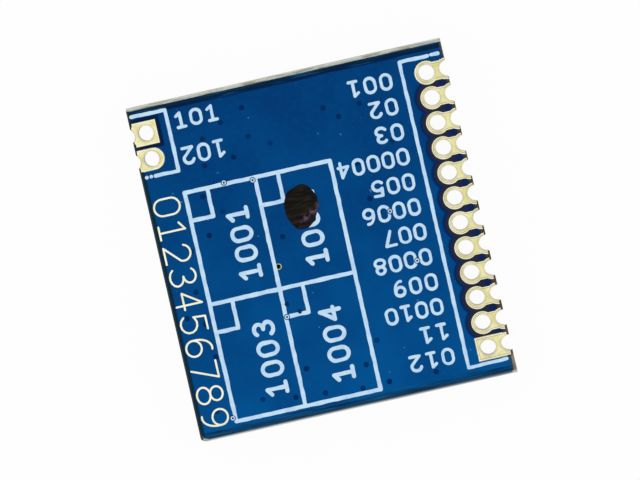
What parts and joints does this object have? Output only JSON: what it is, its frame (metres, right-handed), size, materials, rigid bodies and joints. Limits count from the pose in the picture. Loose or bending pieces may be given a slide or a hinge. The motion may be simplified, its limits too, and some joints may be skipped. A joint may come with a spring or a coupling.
{
  "type": "rf transceiver module",
  "caption": "Small castellated radio transceiver circuit module: blue board with a pin row along one edge, antenna pads at a corner and chip components on its hidden face.",
  "frame": {"origin": "centre of the board, on the plane that the tallest components rest on", "axes": "+Z out of the solder side, +X towards the pin row, +Y along the pin row towards the last pin"},
  "size_m": [0.0162, 0.017, 0.0019],
  "materials": {
    "laminate": "cut glass-epoxy edge",
    "blue_lacquer": "glossy cured lacquer over etched copper",
    "copper_foil": "etched foil",
    "gold_plating": "pale thin gold over nickel",
    "white_print": "screen-printed ink",
    "marker_ink": "dried felt-pen ink",
    "chip_mould": "fine matt moulding compound",
    "tinned_copper": "matt tin",
    "crystal_ceramic": "fired dark ceramic",
    "crystal_cover": "rolled nickel alloy",
    "inductor_ceramic": "fired pale ceramic",
    "capacitor_ceramic": "fired tan ceramic",
    "resistor_glaze": "black glaze on white ceramic",
    "solder": "reflowed solder"
  },
  "bodies": {
    "root": {"circuit_board": "laminate", "copper_back": "copper_foil", "copper_front": "copper_foil", "solder_mask_back": "blue_lacquer", "solder_mask_front": "blue_lacquer", "front_lands": "gold_plating", "antenna_pad_signal": "gold_plating", "antenna_pad_ground": "gold_plating", "print_pin_frame": "white_print", "print_antenna_frame": "white_print", "print_band_table": "white_print", "ink_mark": "marker_ink", "rf_chip_body": "chip_mould", "rf_chip_leadframe": "tinned_copper", "crystal_base": "crystal_ceramic", "crystal_lid": "crystal_cover", "crystal_terminals": "gold_plating", "resistor_01": "resistor_glaze", "solder_joints": "solder", "pin_pad_01": "gold_plating", "pin_pad_02": "gold_plating", "pin_pad_03": "gold_plating", "pin_pad_04": "gold_plating", "pin_pad_05": "gold_plating", "pin_pad_06": "gold_plating", "pin_pad_07": "gold_plating", "pin_pad_08": "gold_plating", "pin_pad_09": "gold_plating", "pin_pad_10": "gold_plating", "pin_pad_11": "gold_plating", "pin_pad_12": "gold_plating", "inductor_01": "inductor_ceramic", "inductor_02": "inductor_ceramic", "inductor_03": "inductor_ceramic", "inductor_04": "inductor_ceramic", "inductor_05": "inductor_ceramic", "inductor_06": "inductor_ceramic", "capacitor_01": "capacitor_ceramic", "capacitor_02": "capacitor_ceramic", "capacitor_03": "capacitor_ceramic", "capacitor_04": "capacitor_ceramic", "capacitor_05": "capacitor_ceramic", "capacitor_06": "capacitor_ceramic", "capacitor_07": "capacitor_ceramic", "capacitor_08": "capacitor_ceramic", "capacitor_09": "capacitor_ceramic", "capacitor_10": "capacitor_ceramic", "capacitor_11": "capacitor_ceramic", "capacitor_12": "capacitor_ceramic", "capacitor_13": "capacitor_ceramic"}
  },
  "joints": []
}
